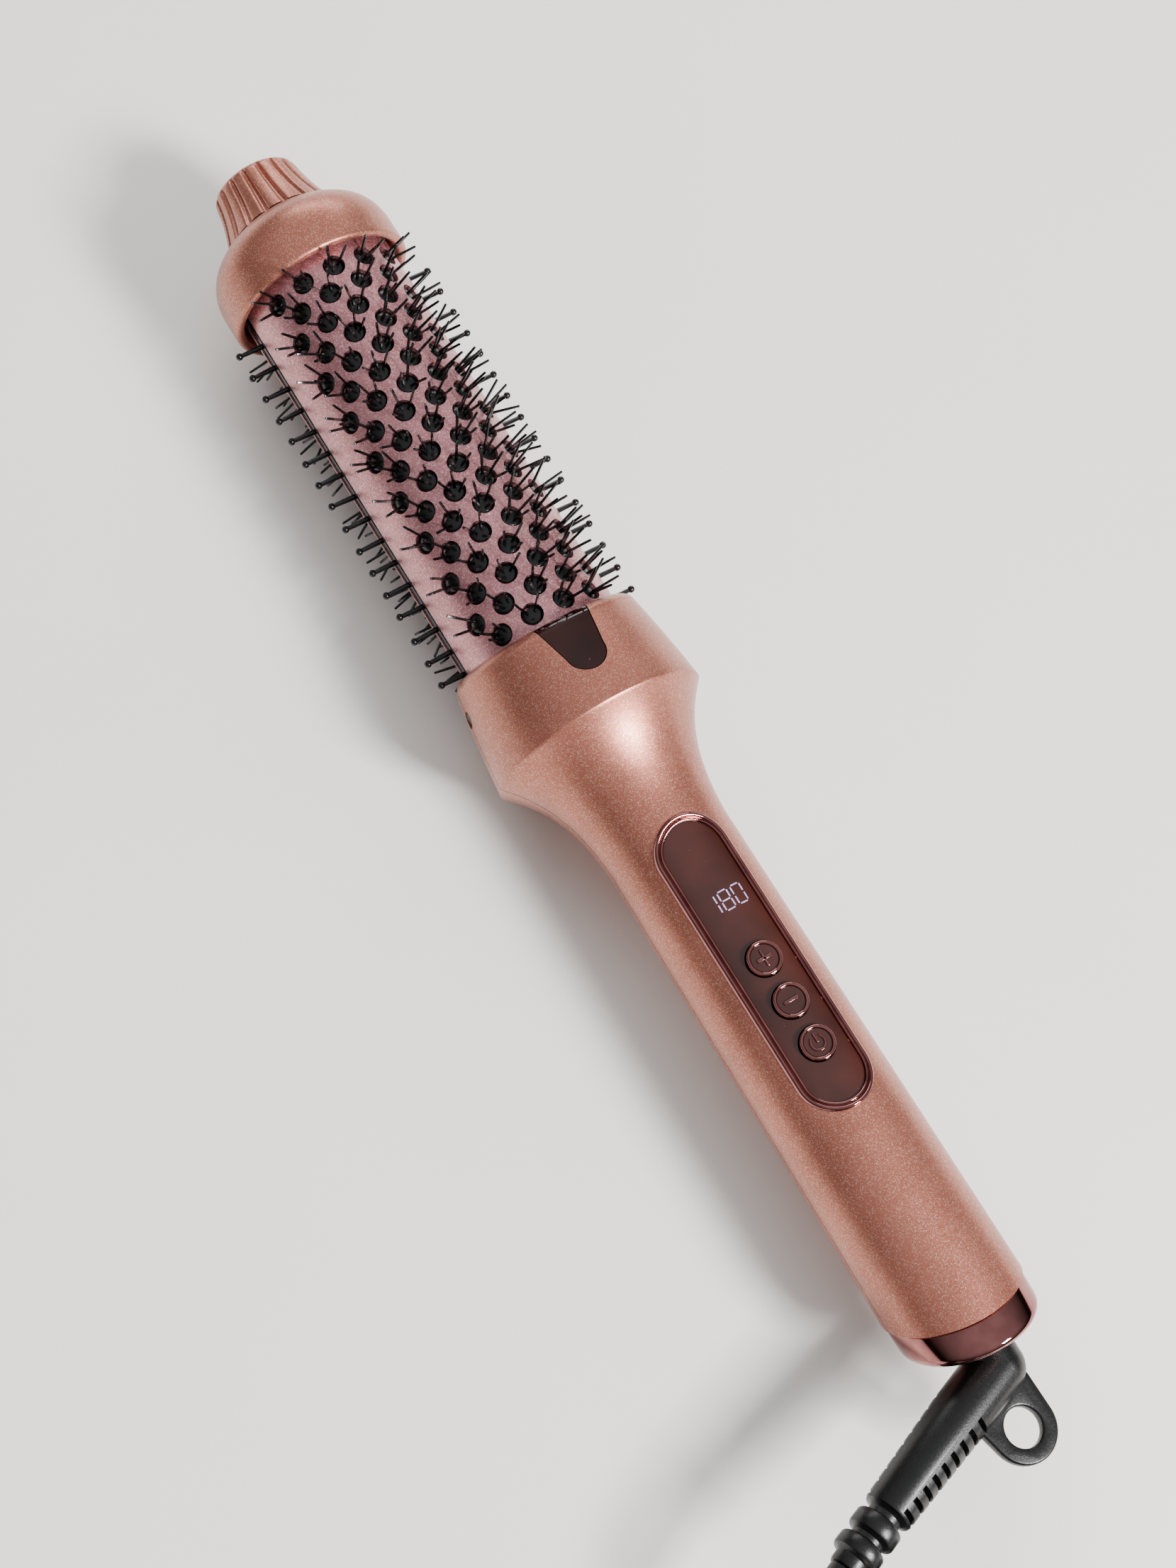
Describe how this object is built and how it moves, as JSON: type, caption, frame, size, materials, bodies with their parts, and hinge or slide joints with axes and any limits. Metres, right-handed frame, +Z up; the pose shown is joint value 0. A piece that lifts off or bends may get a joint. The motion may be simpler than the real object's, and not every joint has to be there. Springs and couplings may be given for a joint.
{
  "type": "curling iron brush",
  "caption": "Curling iron with a round vented brush barrel, side pins, a flared handle with display and push buttons, a slanted plated end cap, a swivelling cord boot and a coiled mains lead.",
  "frame": {"origin": "on the table under the middle of the brush without its cord: the centre of the bottom face of the box round the brush", "axes": "+X runs along the brush from the cool tip to the cord end, +Z is up through the control panel, and the mains lead leaves towards -Y"},
  "size_m": [0.4694, 0.1158, 0.0516],
  "materials": {
    "satin_rose_paint": "satin copper-rose metallic paint with fine flake on moulded plastic",
    "barrel_coating": "pink sparkle ceramic coating on a thin metal shell",
    "black_nylon": "black heat-resistant nylon with a soft gloss",
    "dark_acrylic": "dark red-brown tinted acrylic, mirror smooth",
    "rose_plating": "rose-gold mirror plating on die-cast metal",
    "cord_rubber": "black semi-gloss elastomer",
    "heat_plastic": "dark heat-resistant plastic",
    "steel": "plain zinc-plated steel",
    "brass": "plain brass",
    "pin_plating": "nickel-plated brass",
    "bare_aluminium": "plain extruded aluminium",
    "ceramic": "unglazed white ceramic",
    "board_green": "green glass-fibre circuit board",
    "lead_sleeve": "off-white silicone sleeving"
  },
  "bodies": {
    "brush": {"tip_knob": "satin_rose_paint", "tip_collar": "satin_rose_paint", "tip_plate": "heat_plastic", "tip_screw": "steel", "barrel_upper_shell": "barrel_coating", "barrel_lower_shell": "barrel_coating", "upper_bristle_carrier": "black_nylon", "lower_bristle_carrier": "black_nylon", "right_pin_strip": "black_nylon", "left_pin_strip": "black_nylon", "barrel_mount": "heat_plastic", "heater_sleeve": "bare_aluminium", "heater_element": "ceramic", "temperature_sensor": "ceramic", "thermal_fuse": "steel", "handle_upper_shell": "satin_rose_paint", "handle_lower_shell": "satin_rose_paint", "bell_window": "dark_acrylic", "handle_screw_front": "steel", "handle_screw_rear": "steel", "left_port_plug": "black_nylon", "right_port_plug": "black_nylon", "panel_bezel": "rose_plating", "panel_facing": "dark_acrylic", "switch_plus": "heat_plastic", "switch_minus": "heat_plastic", "switch_power": "heat_plastic", "control_board": "board_green", "display_module": "heat_plastic", "end_cap": "rose_plating", "swivel_bush": "heat_plastic", "contact_block": "heat_plastic", "heater_lead_left": "lead_sleeve", "heater_lead_right": "lead_sleeve"},
    "plus_key": {"button_plus": "dark_acrylic"},
    "minus_key": {"button_minus": "dark_acrylic"},
    "power_key": {"button_power": "dark_acrylic"},
    "cord_swivel": {"cord_boot": "cord_rubber", "slip_ring_rear": "brass", "slip_ring_front": "brass", "power_cord": "cord_rubber", "power_cord_coil": "cord_rubber", "power_cord_tail": "cord_rubber", "coil_tie": "cord_rubber", "plug_body": "cord_rubber", "plug_pin_left": "pin_plating", "plug_pin_right": "pin_plating"}
  },
  "joints": [
    {"name": "button_plus_press", "type": "slide", "parent": "brush", "child": "plus_key", "axis": [0, 0, -1], "range_m": [0, 0.0008], "stiffness_N_per_m": 900},
    {"name": "button_minus_press", "type": "slide", "parent": "brush", "child": "minus_key", "axis": [0, 0, -1], "range_m": [0, 0.0008], "stiffness_N_per_m": 900},
    {"name": "button_power_press", "type": "slide", "parent": "brush", "child": "power_key", "axis": [0, 0, -1], "range_m": [0, 0.0008], "stiffness_N_per_m": 900},
    {"name": "cord_swivel_turn", "type": "hinge", "parent": "brush", "child": "cord_swivel", "pos_m": [0.14, 0, 0.0258], "axis": [1, 0, 0], "continuous": true}
  ]
}
